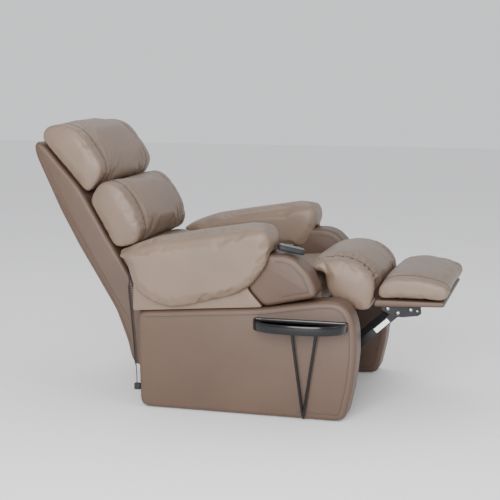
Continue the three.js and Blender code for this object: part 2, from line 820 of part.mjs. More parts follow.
add(base, "cord_coil", cordTube(CORD_COIL, CORD.coil, 20), MATTE_BLACK);
add(base, "cord_upper_tail", cordTube(CORD_UPPER_TAIL, CORD.tail, 12), MATTE_BLACK);
add(base, "cord_lower_tail", cordTube(CORD_LOWER_TAIL, CORD.tail, 8), MATTE_BLACK);
add(base, "cord_socket", block([-386, -393, 62], [-364.5, -377, 84]), MATTE_BLACK);

export default chair;
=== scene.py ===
"""A powered lift recliner armchair: leather upholstery, steel mechanism, side tray and wired handset."""
import json
import math

import bmesh
import bpy
import numpy as np
from mathutils import Matrix, Vector
from mathutils.bvhtree import BVHTree
from mathutils.kdtree import KDTree


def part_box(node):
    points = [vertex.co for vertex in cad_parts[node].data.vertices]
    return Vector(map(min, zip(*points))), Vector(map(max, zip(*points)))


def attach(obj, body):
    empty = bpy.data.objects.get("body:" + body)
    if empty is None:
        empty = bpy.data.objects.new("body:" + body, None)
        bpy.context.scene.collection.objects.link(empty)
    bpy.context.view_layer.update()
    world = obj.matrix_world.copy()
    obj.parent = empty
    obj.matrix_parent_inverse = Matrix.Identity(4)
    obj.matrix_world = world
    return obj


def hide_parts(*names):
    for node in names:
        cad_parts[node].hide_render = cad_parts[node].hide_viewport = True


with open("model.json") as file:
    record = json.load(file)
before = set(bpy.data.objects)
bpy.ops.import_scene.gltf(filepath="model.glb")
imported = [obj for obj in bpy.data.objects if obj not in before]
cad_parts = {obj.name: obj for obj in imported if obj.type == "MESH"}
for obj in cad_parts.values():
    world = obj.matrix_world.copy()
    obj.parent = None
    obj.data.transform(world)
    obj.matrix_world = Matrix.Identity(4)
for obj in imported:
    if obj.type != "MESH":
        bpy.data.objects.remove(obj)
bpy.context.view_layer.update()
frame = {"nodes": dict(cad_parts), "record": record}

NODES = frame["nodes"]
MM = 0.001
SIDES = {"right": -1, "left": 1}

# ---------------------------------------------------------------- camera

CAMERA_PLACE = (1.134, -4.275, 1.208)
CAMERA_YAW = 15.63
CAMERA_PITCH = 8.74
CAMERA_LENS = 85.25


def make_camera():
    camera = bpy.data.objects.new("camera", bpy.data.cameras.new("camera"))
    bpy.context.scene.collection.objects.link(camera)
    camera.data.lens = CAMERA_LENS
    camera.data.sensor_width = 36
    camera.location = CAMERA_PLACE
    camera.rotation_euler = (math.radians(90 - CAMERA_PITCH), 0, math.radians(CAMERA_YAW))
    bpy.context.scene.camera = camera


make_camera()

# ---------------------------------------------------------------- node-based materials


class Nodes:
    """A short way to lay out a material's node tree."""

    def __init__(self, name):
        self.material = bpy.data.materials.new(name)
        self.material.use_nodes = True
        self.tree = self.material.node_tree
        self.shader = self.tree.nodes["Principled BSDF"]
        self.place = self.add("ShaderNodeTexCoord").outputs["Object"]

    def add(self, kind, **settings):
        node = self.tree.nodes.new(kind)
        for key, value in settings.items():
            if hasattr(node, key):
                setattr(node, key, value)
            else:
                node.inputs[key.replace("_", " ")].default_value = value
        return node

    def link(self, out, into):
        self.tree.links.new(out, into)

    def noise(self, scale, detail=3.0, roughness=0.5):
        node = self.add("ShaderNodeTexNoise")
        node.inputs["Scale"].default_value = scale
        node.inputs["Detail"].default_value = detail
        node.inputs["Roughness"].default_value = roughness
        self.link(self.place, node.inputs["Vector"])
        return node.outputs["Fac"]

    def cells(self, scale):
        """How far each point is from the nearest border between cells."""
        node = self.add("ShaderNodeTexVoronoi", feature="DISTANCE_TO_EDGE")
        node.inputs["Scale"].default_value = scale
        self.link(self.place, node.inputs["Vector"])
        return node.outputs["Distance"]

    def ramp(self, value, stops):
        """stops is [(place, (r, g, b))]."""
        node = self.add("ShaderNodeValToRGB")
        while len(node.color_ramp.elements) < len(stops):
            node.color_ramp.elements.new(0.5)
        for element, (place, color) in zip(node.color_ramp.elements, stops):
            element.position = place
            element.color = (*color, 1)
        self.link(value, node.inputs["Fac"])
        return node.outputs["Color"]

    def spread(self, value, low, high):
        """value from 0 to 1, spread from low to high."""
        node = self.add("ShaderNodeMapRange")
        node.inputs["To Min"].default_value = low
        node.inputs["To Max"].default_value = high
        self.link(value, node.inputs["Value"])
        return node.outputs["Result"]

    def bump(self, height, strength, distance, after=None):
        node = self.add("ShaderNodeBump")
        node.inputs["Strength"].default_value = strength
        node.inputs["Distance"].default_value = distance
        self.link(height, node.inputs["Height"])
        if after is not None:
            self.link(after, node.inputs["Normal"])
        return node.outputs["Normal"]

    def set(self, **sockets):
        for key, value in sockets.items():
            self.shader.inputs[key.replace("_", " ")].default_value = value


def tint(color, factor):
    return tuple(channel * factor for channel in color)


def leather(name, color, grain=900, gloss=0.42, creases=0.35):
    """Pigmented leather: a pebble grain of small cells, soft creases, and colour that varies a little."""
    n = Nodes(name)
    pebbles = n.cells(grain)
    fine = n.noise(grain * 2.2, 2)
    creasing = n.noise(38, 5, 0.62)
    cloud = n.noise(4.5, 3)
    mottled = n.ramp(cloud, [(0.3, tint(color, 0.9)), (0.55, color), (0.8, tint(color, 1.09))])
    n.link(mottled, n.shader.inputs["Base Color"])
    n.link(n.spread(creasing, gloss - 0.07, gloss + 0.12), n.shader.inputs["Roughness"])
    first = n.bump(creasing, creases, 0.0016)
    second = n.bump(fine, 0.25, 0.0002, first)
    n.link(n.bump(n.spread(pebbles, 0, 6), 0.28, 0.00022, second), n.shader.inputs["Normal"])
    n.set(Specular_IOR_Level=0.42, Coat_Weight=0.06, Coat_Roughness=0.3)
    return n.material


def painted_steel(name, color, roughness=0.38, metallic=0.1):
    """Powder-coated steel: a faint orange peel and dust that dulls it here and there."""
    n = Nodes(name)
    peel = n.noise(650, 2)
    dust = n.noise(22, 4)
    n.link(n.ramp(dust, [(0.35, color), (0.75, tint(color, 1.7))]), n.shader.inputs["Base Color"])
    n.link(n.spread(dust, roughness - 0.08, roughness + 0.14), n.shader.inputs["Roughness"])
    n.link(n.bump(peel, 0.2, 0.0002), n.shader.inputs["Normal"])
    n.set(Metallic=metallic, Specular_IOR_Level=0.25)
    return n.material


def bright_steel(name):
    """Ground steel rod and zinc-plated fasteners."""
    n = Nodes(name)
    lines = n.noise(420, 2)
    color = (0.55, 0.55, 0.56)
    n.link(n.ramp(lines, [(0.3, tint(color, 0.8)), (0.7, color)]), n.shader.inputs["Base Color"])
    n.link(n.spread(lines, 0.22, 0.38), n.shader.inputs["Roughness"])
    n.set(Metallic=1.0)
    return n.material


def moulded_plastic(name, color, roughness, texture=0.25, coat=0.0):
    """Moulded plastic: spark-eroded texture, or smooth and glossy with a few faint scuffs."""
    n = Nodes(name)
    pits = n.noise(1300, 2)
    scuffs = n.noise(26, 6, 0.7)
    n.link(n.ramp(scuffs, [(0.4, color), (0.8, tint(color, 1.5))]), n.shader.inputs["Base Color"])
    n.link(n.spread(scuffs, roughness, roughness + 0.1), n.shader.inputs["Roughness"])
    n.link(n.bump(pits, texture, 0.00015), n.shader.inputs["Normal"])
    n.set(Coat_Weight=coat, Coat_Roughness=0.08, Specular_IOR_Level=0.3)
    return n.material


def plywood(name):
    n = Nodes(name)
    stretched = n.add("ShaderNodeMapping")
    stretched.inputs["Scale"].default_value = (2, 40, 40)
    n.link(n.place, stretched.inputs["Vector"])
    grain = n.add("ShaderNodeTexNoise")
    grain.inputs["Scale"].default_value = 3
    grain.inputs["Detail"].default_value = 6
    n.link(stretched.outputs["Vector"], grain.inputs["Vector"])
    color = n.ramp(grain.outputs["Fac"], [(0.3, (0.3, 0.19, 0.1)), (0.7, (0.5, 0.36, 0.21))])
    n.link(color, n.shader.inputs["Base Color"])
    n.link(n.bump(grain.outputs["Fac"], 0.2, 0.0004), n.shader.inputs["Normal"])
    n.set(Roughness=0.7)
    return n.material


def thread(name, color):
    n = Nodes(name)
    twist = n.add("ShaderNodeTexWave")
    twist.inputs["Scale"].default_value = 900
    n.link(n.place, twist.inputs["Vector"])
    n.link(n.ramp(twist.outputs["Fac"], [(0, tint(color, 0.7)), (1, color)]), n.shader.inputs["Base Color"])
    n.set(Roughness=0.75, Sheen_Weight=0.2)
    return n.material


DARK = (0.080, 0.047, 0.031)
LIGHT = (0.160, 0.111, 0.080)
MATERIALS = {
    "dark_leather": leather("dark_leather", DARK, gloss=0.46, creases=0.22),
    "light_leather": leather("light_leather", LIGHT, gloss=0.42, creases=0.4),
    "seam_dark": leather("seam_dark", tint(DARK, 0.6), gloss=0.5),
    "thread": thread("thread", (0.012, 0.008, 0.006)),
    "black_steel": painted_steel("black_steel", (0.012, 0.012, 0.013)),
    "grey_steel": bright_steel("grey_steel"),
    "gloss_black": moulded_plastic("gloss_black", (0.004, 0.004, 0.005), 0.14, 0.03, coat=0.15),
    "matte_black": moulded_plastic("matte_black", (0.014, 0.014, 0.015), 0.5),
    "cable": moulded_plastic("cable", (0.01, 0.01, 0.011), 0.42, 0.1),
    "board": plywood("board"),
    "key_grey": moulded_plastic("key_grey", (0.09, 0.11, 0.10), 0.45, 0.1),
    "face_green": moulded_plastic("face_green", (0.030, 0.038, 0.035), 0.3, 0.05, coat=0.2),
    "label": moulded_plastic("label", (0.75, 0.75, 0.73), 0.5, 0.05),
}

# ---------------------------------------------------------------- mesh helpers

GROOVE_SPACING = 0.004
SEAM_SPACING = 0.006


def add_object(name, mesh, material):
    piece = bpy.data.objects.new(name, mesh)
    bpy.context.scene.collection.objects.link(piece)
    mesh.materials.clear()
    mesh.materials.append(MATERIALS[material])
    mesh.polygons.foreach_set("use_smooth", [True] * len(mesh.polygons))
    return piece


def profile(node, y):
    """The outline of a CAD node where the plane at that y cuts it, as an ordered loop of (x, z) in metres."""
    sliced = bmesh.new()
    sliced.from_mesh(NODES[node].data)
    bmesh.ops.remove_doubles(sliced, verts=sliced.verts, dist=1e-6)
    everything = sliced.verts[:] + sliced.edges[:] + sliced.faces[:]
    bmesh.ops.bisect_plane(
        sliced, geom=everything, plane_co=(0, y, 0), plane_no=(0, 1, 0), clear_inner=True, clear_outer=True
    )
    links = {}
    for edge in sliced.edges:
        a, b = (tuple(round(c, 6) for c in (v.co.x, v.co.z)) for v in edge.verts)
        if a != b:
            links.setdefault(a, []).append(b)
            links.setdefault(b, []).append(a)
    sliced.free()
    start = min(links)
    loop, last, here = [start], None, start
    while True:
        onward = [p for p in links[here] if p != last and p != here]
        if not onward or onward[0] == start:
            break
        last, here = here, onward[0]
        loop.append(here)
    loop = np.array(loop)
    x, z = loop[:, 0], loop[:, 1]
    area = (x * np.roll(z, -1) - np.roll(x, -1) * z).sum()
    return loop if area > 0 else loop[::-1]


def even(loop, count, soften=1):
    """The loop again with count evenly spaced points, its corners softened a little."""
    closed = np.vstack([loop, loop[:1]])
    along = np.concatenate([[0], np.cumsum(np.linalg.norm(np.diff(closed, axis=0), axis=1))])
    at = np.linspace(0, along[-1], count, endpoint=False)
    out = np.stack([np.interp(at, along, closed[:, k]) for k in range(2)], axis=1)
    for _ in range(soften):
        out = 0.5 * out + 0.25 * (np.roll(out, 1, axis=0) + np.roll(out, -1, axis=0))
    return out


def outward(loop):
    """Unit normals of a counter-clockwise loop, pointing out."""
    step = np.roll(loop, -1, axis=0) - np.roll(loop, 1, axis=0)
    normal = np.stack([step[:, 1], -step[:, 0]], axis=1)
    return normal / np.maximum(np.linalg.norm(normal, axis=1, keepdims=True), 1e-9)


def lofted(name, rings, material):
    """A closed body through rings of equally many points; the first and last rings are filled."""
    count = len(rings[0])
    mesh = bpy.data.meshes.new(name)
    points = [tuple(p) for ring in rings for p in ring]
    faces = []
    for r in range(len(rings) - 1):
        for i in range(count):
            j = (i + 1) % count
            faces.append((r * count + i, r * count + j, (r + 1) * count + j, (r + 1) * count + i))
    last = (len(rings) - 1) * count
    faces.append(tuple(range(count))[::-1])
    faces.append(tuple(range(last, last + count)))
    mesh.from_pydata(points, [], faces)
    built = bmesh.new()
    built.from_mesh(mesh)
    bmesh.ops.recalc_face_normals(built, faces=built.faces)
    built.to_mesh(mesh)
    built.free()
    return add_object(name, mesh, material)


def section_rings(loop, y0, y1, inset_at, dome=0.0, steps=24, edge=0.012, cap_scales=(0.25, 0.5, 0.72, 0.9)):
    """Rings across the width: each is the loop inset by inset_at(t), t from -1 to 1, with rounded ends.
    The ends are domed through the loop shrunk by cap_scales, which suits an outline with no hollow side."""
    normals = outward(loop)
    centre = loop.mean(axis=0)
    middle, half = (y0 + y1) / 2, (y1 - y0) / 2
    rings = []

    def ring(y, inset, scale=1.0):
        flat = loop - normals * inset
        flat = centre + (flat - centre) * scale
        rings.append(np.column_stack([flat[:, 0], np.full(len(flat), y), flat[:, 1]]))

    inner_half = half - edge - dome
    for scale in cap_scales:
        ring(middle - inner_half - edge - dome * (1 - scale**2), inset_at(-1) + edge, scale)
    turns = [math.pi / 2 * k / 4 for k in range(4)]
    for turn in turns:
        ring(middle - inner_half - edge * math.cos(turn), inset_at(-1) + edge * (1 - math.sin(turn)))
    for t in np.linspace(-1, 1, steps):
        ring(middle + t * inner_half, inset_at(t))
    for turn in turns[::-1]:
        ring(middle + inner_half + edge * math.cos(turn), inset_at(1) + edge * (1 - math.sin(turn)))
    for scale in cap_scales[::-1]:
        ring(middle + inner_half + edge + dome * (1 - scale**2), inset_at(1) + edge, scale)
    return rings


def apply_modifiers(piece):
    """The piece's mesh with its modifiers worked in."""
    evaluated = piece.evaluated_get(bpy.context.evaluated_depsgraph_get())
    mesh = bpy.data.meshes.new_from_object(evaluated)
    piece.modifiers.clear()
    piece.data = mesh
    return piece


def coordinates(mesh):
    points = np.empty(len(mesh.vertices) * 3)
    mesh.vertices.foreach_get("co", points)
    return points.reshape(-1, 3)


def set_coordinates(mesh, points):
    mesh.vertices.foreach_set("co", points.reshape(-1))
    mesh.update()


def remesh(piece, voxel):
    modifier = piece.modifiers.new("remesh", "REMESH")
    modifier.mode = "VOXEL"
    modifier.voxel_size = voxel
    modifier.use_smooth_shade = True
    apply_modifiers(piece)


def smooth(piece, factor, repeats):
    modifier = piece.modifiers.new("smooth", "SMOOTH")
    modifier.factor = factor
    modifier.iterations = repeats
    apply_modifiers(piece)


def subdivide(piece, levels=1):
    modifier = piece.modifiers.new("subdivide", "SUBSURF")
    modifier.levels = levels
    modifier.render_levels = levels
    apply_modifiers(piece)
    piece.data.polygons.foreach_set("use_smooth", [True] * len(piece.data.polygons))


def inflate(piece, pinned, cap, pressure=4.0, slack=0.04, stiffness=14.0):
    """Cloth simulation under air pressure. pinned(points) is how firmly each point is sewn down, 0 to 1.
    slack is how much spare fabric there is; no point moves further than cap."""
    mesh = piece.data
    rest = coordinates(mesh).copy()
    hold = np.clip(pinned(rest), 0, 1)
    group = piece.vertex_groups.new(name="sewn")
    for i in np.nonzero(hold > 0.02)[0]:
        group.add([int(i)], float(hold[i]), "REPLACE")
    modifier = piece.modifiers.new("cloth", "CLOTH")
    cloth = modifier.settings
    cloth.quality = 5
    cloth.mass = 0.4
    cloth.tension_stiffness = stiffness
    cloth.compression_stiffness = stiffness
    cloth.shear_stiffness = 4
    cloth.bending_stiffness = 0.6
    cloth.use_pressure = True
    cloth.uniform_pressure_force = pressure
    cloth.shrink_min = -slack
    cloth.vertex_group_mass = "sewn"
    cloth.pin_stiffness = 1.0
    cloth.effector_weights.gravity = 0
    modifier.collision_settings.use_collision = False
    scene = bpy.context.scene
    modifier.point_cache.frame_start = 1
    modifier.point_cache.frame_end = 20
    for step in range(1, 21):
        scene.frame_set(step)
    apply_modifiers(piece)
    scene.frame_set(1)
    moved = coordinates(piece.data) - rest
    far = np.linalg.norm(moved, axis=1, keepdims=True)
    limited = rest + moved * np.minimum(1, cap / np.maximum(far, 1e-9))
    set_coordinates(piece.data, limited)


def near_loop(loops, reach):
    """How sewn down a point is: 1 on any of the loops of 3-D points, falling to 0 at reach."""
    tree = KDTree(sum(len(loop) for loop in loops))
    for i, point in enumerate(np.vstack(loops)):
        tree.insert(point, i)
    tree.balance()

    def pinned(points):
        far = np.array([tree.find(p)[2] for p in points])
        return np.clip(1.4 * (1 - far / reach), 0, 1)

    return pinned


def curve_piece(name, points, radius, material):
    """A round cord along the points: piping, a seam or a wire."""
    data = bpy.data.curves.new(name, "CURVE")
    data.dimensions = "3D"
    spline = data.splines.new("POLY")
    spline.points.add(len(points) - 1)
    for place, point in zip(spline.points, points):
        place.co = (*point, 1)
    data.bevel_depth = radius
    data.bevel_resolution = 2
    data.use_fill_caps = True
    piece = bpy.data.objects.new(name, data)
    bpy.context.scene.collection.objects.link(piece)
    data.materials.append(MATERIALS[material])
    return piece


def laid_on(piece, points, sink=0.0):
    """The points moved onto the nearest place of a piece's surface, and sunk into it a little."""
    tree = BVHTree.FromObject(piece, bpy.context.evaluated_depsgraph_get())
    out = []
    for point in points:
        place, normal, _, _ = tree.find_nearest(Vector(point))
        out.append(place - normal * sink)
    return out


def resample(points, spacing):
    """Evenly spaced points along an open path."""
    path = np.array([tuple(p) for p in points], float)
    along = np.concatenate([[0], np.cumsum(np.linalg.norm(np.diff(path, axis=0), axis=1))])
    at = np.arange(spacing / 2, along[-1], spacing)
    return np.stack([np.interp(at, along, path[:, k]) for k in range(3)], axis=1)


def stitches(name, piece, points, pitch=0.007, length=0.0044, radius=0.0007):
    """A row of thread stitches on a piece's surface, each a small tapered bead lying along the seam."""
    path = laid_on(piece, resample(points, pitch))
    built = bmesh.new()
    for before, here, after in zip(path, path[1:], path[2:]):
        along = (after - before).normalized()
        turn = along.to_track_quat("X", "Z").to_matrix().to_4x4()
        size = Matrix.Diagonal((length / 2, radius, radius, 1))
        bmesh.ops.create_icosphere(
            built, subdivisions=1, radius=1, matrix=Matrix.Translation(here) @ turn @ size
        )
    mesh = bpy.data.meshes.new(name)
    built.to_mesh(mesh)
    built.free()
    return add_object(name, mesh, "thread")


def finish_piece(piece, body, node=None):
    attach(piece, body)
    if node:
        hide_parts(node)
    return piece


def groove(piece, points, depth, width):
    """Pulls a piece's surface in along a sewn line."""
    path = resample(points, GROOVE_SPACING)
    hold = near_loop([path], width)
    mesh = piece.data
    place = coordinates(mesh)
    normals = np.empty(len(mesh.vertices) * 3)
    mesh.vertices.foreach_get("normal", normals)
    pull = hold(place)[:, None] / 1.4
    set_coordinates(mesh, place - normals.reshape(-1, 3) * pull**2 * depth)

# ---------------------------------------------------------------- handset cord

CORD_Y = -0.385
CORD_COIL = [(-402, 446), (-397, 388), (-392, 333), (-387, 279), (-383, 224), (-380, 150)]
CORD_UPPER_TAIL = [(-385, 494), (-391, 492), (-398, 483), (-402, 468), (-402.2, 447)]
CORD_LOWER_TAIL = [(-380, 149), (-379, 130), (-378, 108), (-378, 84.4)]
CORD_DIAMETER = 0.0036
CURL_RADIUS = 0.005
CURL_PITCH = 0.0084
CURL_POINTS = 14  # for each turn


def in_metres(points):
    return np.array([(x * MM, CORD_Y, z * MM) for x, z in points])


def make_cord():
    """One strand: down from under the arm pad, curled, then straight into its socket."""
    middle = in_metres(CORD_COIL)
    lengths = np.concatenate([[0], np.cumsum(np.linalg.norm(np.diff(middle, axis=0), axis=1))])
    turns = round(lengths[-1] / CURL_PITCH)
    count = turns * CURL_POINTS
    curl = []
    for i in range(count + 1):
        share = i / count
        at = [np.interp(share * lengths[-1], lengths, middle[:, k]) for k in range(3)]
        angle = 2 * math.pi * turns * share
        wide = CURL_RADIUS * min(1, i / CURL_POINTS, (count - i) / CURL_POINTS)
        curl.append((at[0] + wide * math.cos(angle), at[1] + wide * math.sin(angle), at[2]))
    route = [*in_metres(CORD_UPPER_TAIL), *curl, *in_metres(CORD_LOWER_TAIL)]
    cord = curve_piece("handset_cord", route, CORD_DIAMETER / 2, "cable")
    cord.data.bevel_resolution = 3
    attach(cord, "base")
    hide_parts("cord_coil", "cord_upper_tail", "cord_lower_tail")


make_cord()

# ---------------------------------------------------------------- upholstery

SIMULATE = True
VOXEL = 0.006
BACK_FORWARD = np.array((0.86, 0.51))  # from the shell towards the occupant, in the side view
UPWARD = np.array((0.25, 0.97))


def crowned_rings(node, forward, crown, swell, edge, dome, count=72, soften=3, power=2.6):
    """Rings for a cushion whose front is fullest at mid-width.
    It is smaller than its CAD node by swell all round, so that it can fill out."""
    low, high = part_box(node)
    loop = even(profile(node, 0.0), count, soften)
    normals = outward(loop)
    facing = np.clip((normals @ forward + 0.55) / 1.1, 0, 1)

    def inset_at(t):
        return (swell + crown * abs(t) ** power * facing)[:, None]

    return section_rings(loop, low[1] + swell, high[1] - swell, inset_at, dome=dome, edge=edge)


def end_seams(rings, width=0.062):
    """The two rings at which the end panels are sewn on, that far from each end."""
    low, high = rings[0][0][1], rings[-1][0][1]
    return [min(rings, key=lambda ring: abs(ring[0][1] - y)) for y in (low + width, high - width)]


def settle(piece, seams, cap, pressure, slack, reach=0.02, stiffness=14.0):
    """Swells a cushion against the seams that hold it down."""
    remesh(piece, VOXEL)
    smooth(piece, 0.5, 2)
    if SIMULATE:
        inflate(piece, near_loop(seams, reach), cap, pressure, slack, stiffness)
    smooth(piece, 0.3, 1)


def facing_part(loop3d, forward, least=-0.35):
    """The stretch of a seam loop that lies on the cushion's front, in order."""
    flat = np.column_stack([loop3d[:, 0], loop3d[:, 2]])
    keep = outward(flat) @ forward > least
    start = next((i for i in range(len(keep)) if keep[i] and not keep[i - 1]), 0)
    order = [(start + k) % len(keep) for k in range(len(keep))]
    return [loop3d[i] for i in order if keep[i]]


def seam_pieces(cushion, name, body, seams, forward, least=-0.35):
    """A thin dark seam along the front of each end panel."""
    for i, seam in enumerate(seams):
        path = facing_part(seam, forward, least)
        line = laid_on(cushion, resample(path, SEAM_SPACING), 0.0002)
        seam = curve_piece(f"{name}_seam_{i + 1}", line, 0.0013, "thread")
        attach(seam, body)


def sew_in(piece, seams, forward, least, depth, width):
    """Pulls a cushion in along the front of its end seams."""
    for seam in seams:
        groove(piece, np.array(facing_part(seam, forward, least)), depth, width)


def make_back_cushion(node, crown, cap, pressure):
    """One of the three pillows on the back, each with boxed ends."""
    rings = crowned_rings(node, BACK_FORWARD, crown, swell=0.0, edge=0.012, dome=0.002, soften=1)
    cushion = lofted(node.replace("_cushion", "_pillow"), rings, "light_leather")
    seams = end_seams(rings)
    settle(cushion, seams, cap, pressure, slack=0.02)
    sew_in(cushion, seams, BACK_FORWARD, least=-0.35, depth=0.004, width=0.012)
    subdivide(cushion)
    pucker(cushion, seams, folds=17, depth=0.0007, reach=0.022)
    seam_pieces(cushion, node, "back", seams, BACK_FORWARD)
    finish_piece(cushion, "back", node)


def make_seat():
    rings = crowned_rings("seat_cushion", UPWARD, crown=0.006, swell=0.005, edge=0.016, dome=0.002)
    seat = lofted("seat_pad", rings, "light_leather")
    seams = end_seams(rings)
    settle(seat, seams, cap=0.007, pressure=3.0, slack=0.015)
    subdivide(seat)
    seam_pieces(seat, "seat", "base", seams, UPWARD, 0.2)
    finish_piece(seat, "base", "seat_cushion")


def make_footrest_pad():
    rings = crowned_rings(
        "footrest_pad", UPWARD, crown=0.007, swell=0.0, edge=0.008, dome=0.0, soften=1, power=3.6
    )
    pad = lofted("foot_cushion", rings, "light_leather")
    seams = end_seams(rings)
    settle(pad, seams, cap=0.005, pressure=3.0, slack=0.02)
    sew_in(pad, seams, UPWARD, least=0.1, depth=0.003, width=0.01)
    subdivide(pad)
    seam_pieces(pad, "footrest_pad", "footrest", seams, UPWARD, 0.1)
    finish_piece(pad, "footrest", "footrest_pad")


def pucker(piece, loops, folds, depth, reach):
    """Small gathers that run out from a seam on both sides of it."""
    ends = np.vstack(loops)
    turns = np.concatenate([np.arange(len(loop)) / len(loop) for loop in loops])
    tree = KDTree(len(ends))
    for i, point in enumerate(ends):
        tree.insert(point, i)
    tree.balance()
    mesh = piece.data
    points = coordinates(mesh)
    for vertex in mesh.vertices:
        _, nearest, far = tree.find(vertex.co)
        if far < 3 * reach:
            angle = 2 * math.pi * turns[nearest]
            wave = math.sin(folds * angle + 2 * math.sin(3 * angle)) + 0.6 * math.sin(1.7 * folds * angle + 1)
            points[vertex.index] += np.array(vertex.normal) * wave * depth * math.exp(-((far / reach) ** 2))
    set_coordinates(mesh, points)


def make_leg_pillow():
    """The loose pillow between the seat and the footrest, gathered at both ends."""
    rings = crowned_rings(
        "leg_pillow", UPWARD, crown=0.010, swell=0.002, edge=0.016, dome=0.002, count=120, power=3.4
    )
    seams = end_seams(rings)
    pillow = lofted("leg_bolster", rings, "light_leather")
    settle(pillow, seams, cap=0.010, pressure=4.0, slack=0.035, stiffness=12.0)
    sew_in(pillow, seams, UPWARD, least=-0.4, depth=0.005, width=0.014)
    subdivide(pillow)
    pucker(pillow, seams, folds=23, depth=0.0022, reach=0.03)
    seam_pieces(pillow, "leg_pillow", "leg_pillow", seams, UPWARD, -0.4)
    finish_piece(pillow, "leg_pillow", "leg_pillow")


# Where the arm box fills an arm pad's channel: across the arm, and under a sloping top.
ARM_INNER = 0.308
ARM_OUTER = 0.405
ARM_BOX_REAR = -0.4
ARM_BOX_TOP = 0.52
ARM_BOX_SLOPE = 0.13
HEM = 0.03


def make_arm_pad(word):
    """The pillow draped over an arm. Its channel and hem are sewn down; the rest swells."""
    node = f"arm_pad_{word}"
    mesh = NODES[node].data.copy()
    pad = add_object(f"arm_pillow_{word}", mesh, "light_leather")
    remesh(pad, VOXEL)
    smooth(pad, 0.5, 14)

    def pinned(points):
        depth = np.abs(points[:, 1])
        under = (depth > ARM_INNER) & (depth < ARM_OUTER)
        hem_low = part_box(node)[0][2]
        hem = 1 - np.clip((points[:, 2] - hem_low) / HEM, 0, 1)
        channel = under & (points[:, 2] < ARM_BOX_TOP + ARM_BOX_SLOPE * (points[:, 0] - ARM_BOX_REAR))
        return np.maximum(hem * 0.9, channel * 1.0)

    if SIMULATE:
        inflate(pad, pinned, cap=0.007, pressure=3.0, slack=0.02, stiffness=13.0)
    smooth(pad, 0.3, 1)
    subdivide(pad)
    finish_piece(pad, "base", node)


def make_cover(name, node, y_at, body, slot, edge=0.014, soften=2):
    """Leather pulled tight over a padded board: the CAD outline with rounded edges.
    It gives back the cover and its outline."""
    low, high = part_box(node)
    loop = even(profile(node, y_at), 150, soften)
    rings = section_rings(loop, low[1], high[1], lambda t: 0.0, steps=16, edge=edge, cap_scales=())
    cover = lofted(name, rings, slot)
    finish_piece(cover, body, node)
    return cover, loop


def stretch_of(loop, inset, y, keep):
    """The part of an outline, inset, where keep(x, z) is true, as 3-D points in order."""
    moved = loop - outward(loop) * inset
    wanted = [keep(x, z) for x, z in moved]
    start = next((i for i in range(len(wanted)) if wanted[i] and not wanted[i - 1]), 0)
    order = [(start + k) % len(wanted) for k in range(len(wanted))]
    return [np.array((moved[i][0], y, moved[i][1])) for i in order if wanted[i]]


def sewn_line(name, cover, points, body):
    """A raised seam along the surface of a dark cover."""
    line = laid_on(cover, resample(points, SEAM_SPACING), 0.0004)
    seam = curve_piece(f"{name}_seam", line, 0.0012, "seam_dark")
    finish_piece(seam, body)


def top_stitched(name, cover, loop, y, inset, keep):
    """A seam along part of a cover's outline, with a row of stitches just inside it."""
    sewn_line(name, cover, stretch_of(loop, inset, y, keep), "base")
    beside = stretch_of(loop, inset + STITCH_OFFSET, y, keep)
    row = stitches(f"{name}_stitches", cover, beside)
    finish_piece(row, "base")


STITCH_OFFSET = 0.0045


def make_side_panel(word, side):
    """The base's side: leather over a board, top-stitched round the front and top edges."""
    node = f"side_panel_{word}"
    low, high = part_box(node)
    cover, loop = make_cover(f"side_cover_{word}", node, side * 0.345, "base", "dark_leather", edge=0.016)
    outer = high[1] if side > 0 else low[1]
    inner = low[1] if side > 0 else high[1]

    def front_and_top(x, z):
        return z > low[2] + 0.02 and (z > 0.33 or x > 0.2)

    for part, y in (("outer", outer), ("inner", inner)):
        top_stitched(f"{node}_{part}", cover, loop, y, 0.022, front_and_top)


def make_arm(word, side):
    """The dark front of an arm, top-stitched over its crown, and the light panel behind it."""
    front = f"arm_front_{word}"
    cover, loop = make_cover(f"arm_box_{word}", front, side * 0.35, "base", "dark_leather", edge=0.014)

    def crown(x, z):
        return x > 0.13 and z > 0.43

    for part, y in (("outer", side * 0.4), ("inner", side * 0.29)):
        top_stitched(f"{front}_{part}", cover, loop, y, 0.024, crown)
    rear = f"arm_rear_{word}"
    make_cover(f"arm_side_{word}", rear, side * 0.36, "base", "light_leather", edge=0.004, soften=1)


def make_back_shell():
    """The back's board, with a seam down each side near its rear edge and a steel ear for the actuator."""
    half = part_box("back_hinge_left")[1][1] + 0.016
    loop = even(profile("back_shell", 0.0), 170, 2)
    rings = section_rings(loop, -half, half, lambda t: 0.0, steps=16, edge=0.014, cap_scales=())
    cover = lofted("back_cover", rings, "dark_leather")
    finish_piece(cover, "back", "back_shell")
    for side, y in ((-1, -half), (1, half)):
        path = stretch_of(loop, 0.014, y, lambda x, z: z > 0.2)
        rear_edge = [p for p in path if p[0] < -0.45 - 0.62 * (p[2] - 0.3)]
        sewn_line(f"back_rear_{side + 2}", cover, rear_edge, "back")
    plate = lofted("recline_bracket", bracket_rings(), "black_steel")
    bevel(plate, 0.0006)
    finish_piece(plate, "back")


def bracket_rings():
    """The steel ear on the shell beside the recline rod's eye."""
    low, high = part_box("recline_rod")
    pivot = np.array((low[0] + 0.011, (low[2] + high[2]) / 2 + 0.004))
    outline = np.array([(-0.03, -0.028), (0, -0.012), (0.01, 0), (0, 0.012), (-0.03, 0.027)]) + pivot
    y = high[1] - 0.0035
    return [np.column_stack([outline[:, 0], np.full(5, at), outline[:, 1]]) for at in (y, y + 0.006)]


def make_footrest_board():
    make_cover("board_cover", "footrest_board", 0.0, "footrest", "dark_leather", edge=0.006, soften=1)


# ---------------------------------------------------------------- hard parts


